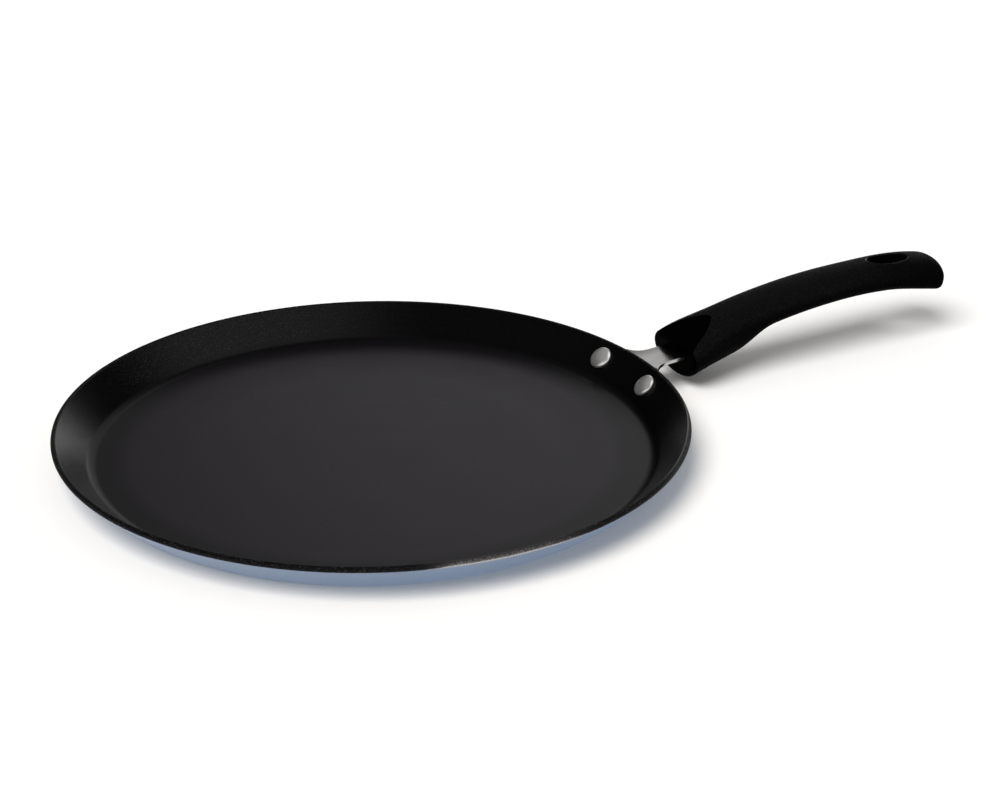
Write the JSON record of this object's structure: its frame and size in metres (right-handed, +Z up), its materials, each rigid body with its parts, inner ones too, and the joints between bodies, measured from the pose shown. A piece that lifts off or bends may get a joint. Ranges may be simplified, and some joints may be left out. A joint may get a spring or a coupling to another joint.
{
  "type": "tawa",
  "caption": "Flat shallow non-stick griddle pan with a sloping wall and one long riveted handle with an oval hang slot.",
  "frame": {"origin": "centre of the pan's flat base, on the surface that it stands on", "axes": "+Z up out of the pan, +X along the handle, the part is mirror-symmetric in Y"},
  "size_m": [0.4493, 0.28, 0.0389],
  "materials": {
    "pan": "matte",
    "bracket": "satin",
    "rivet": "satin",
    "grip": "satin",
    "screw": "satin",
    "insert": "satin"
  },
  "bodies": {
    "root": {"pan_body": "pan", "handle_bracket": "bracket", "rivet_left": "rivet", "rivet_right": "rivet", "handle_grip": "grip", "grip_screw": "screw", "screw_washer": "screw", "threaded_insert": "insert"}
  },
  "joints": []
}
